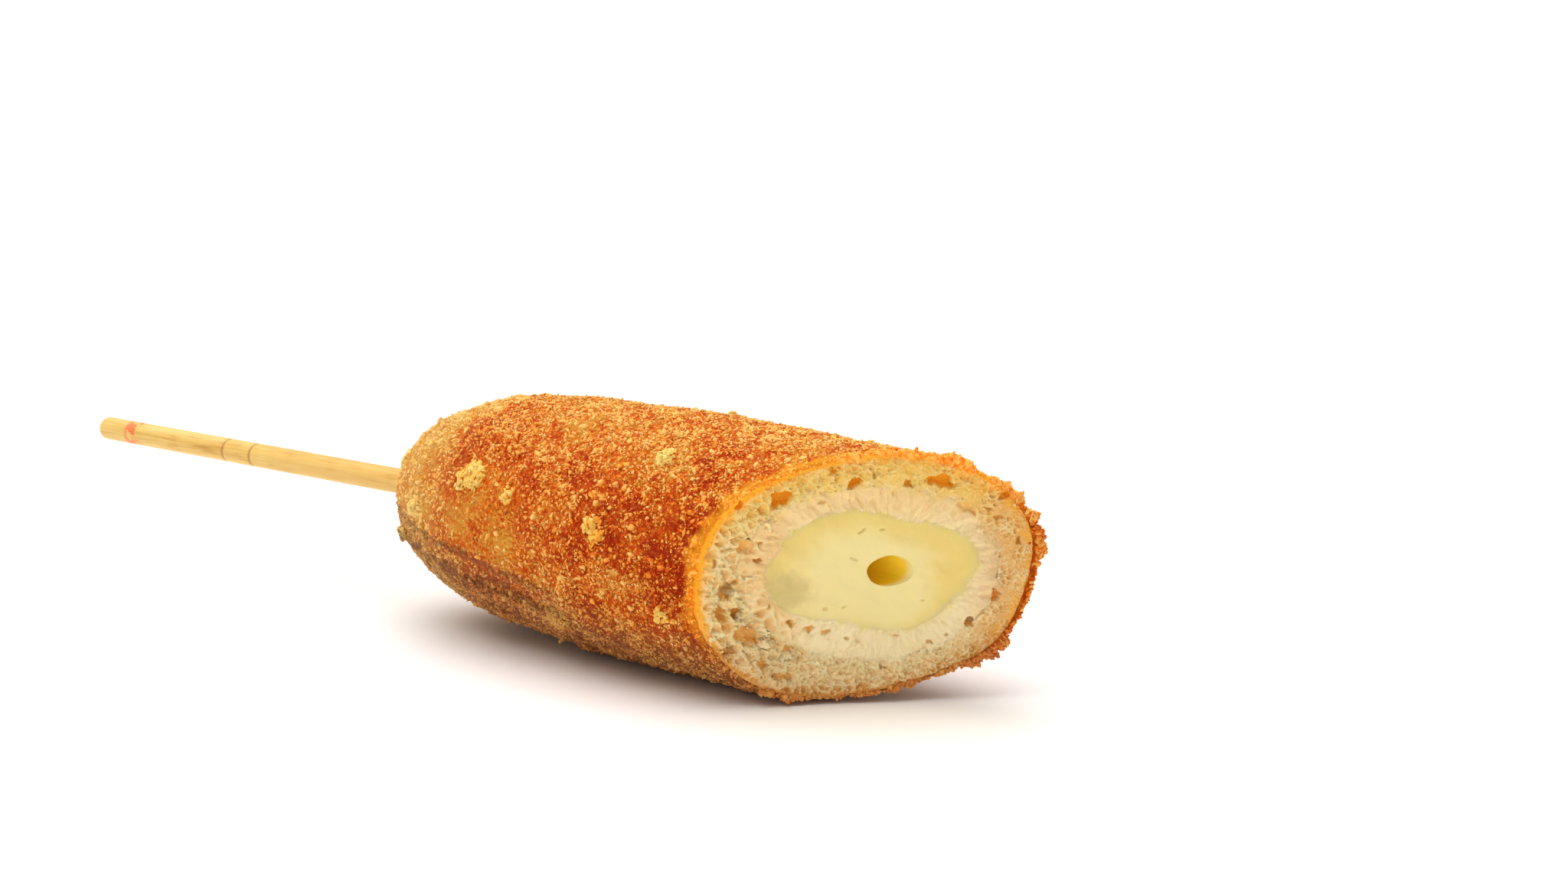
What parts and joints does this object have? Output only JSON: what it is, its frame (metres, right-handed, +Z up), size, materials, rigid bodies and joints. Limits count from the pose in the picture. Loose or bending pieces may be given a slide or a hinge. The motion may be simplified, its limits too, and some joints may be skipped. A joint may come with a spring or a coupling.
{
  "type": "corn dog",
  "caption": "Fried cheese corn dog on a bamboo skewer, cut in half on a slant to show bread, dough and cheese, lying on its side.",
  "frame": {"origin": "centre of the small flat spot on the batter that the corn dog rests on", "axes": "+X along the corn dog towards the cut end, the skewer points along -X; +Z up from the table; +Y across, away from the side that the cut faces"},
  "size_m": [0.2592, 0.0522, 0.0511],
  "materials": {
    "fried_batter": "rough, dry fried crumb crust over open bread",
    "pale_dough": "moist, dense crumb",
    "melted_cheese": "smooth, slightly oily",
    "bamboo": "bare, lengthwise grain"
  },
  "bodies": {
    "root": {"batter": "fried_batter", "inner_dough": "pale_dough", "cheese": "melted_cheese", "skewer": "bamboo"}
  },
  "joints": []
}
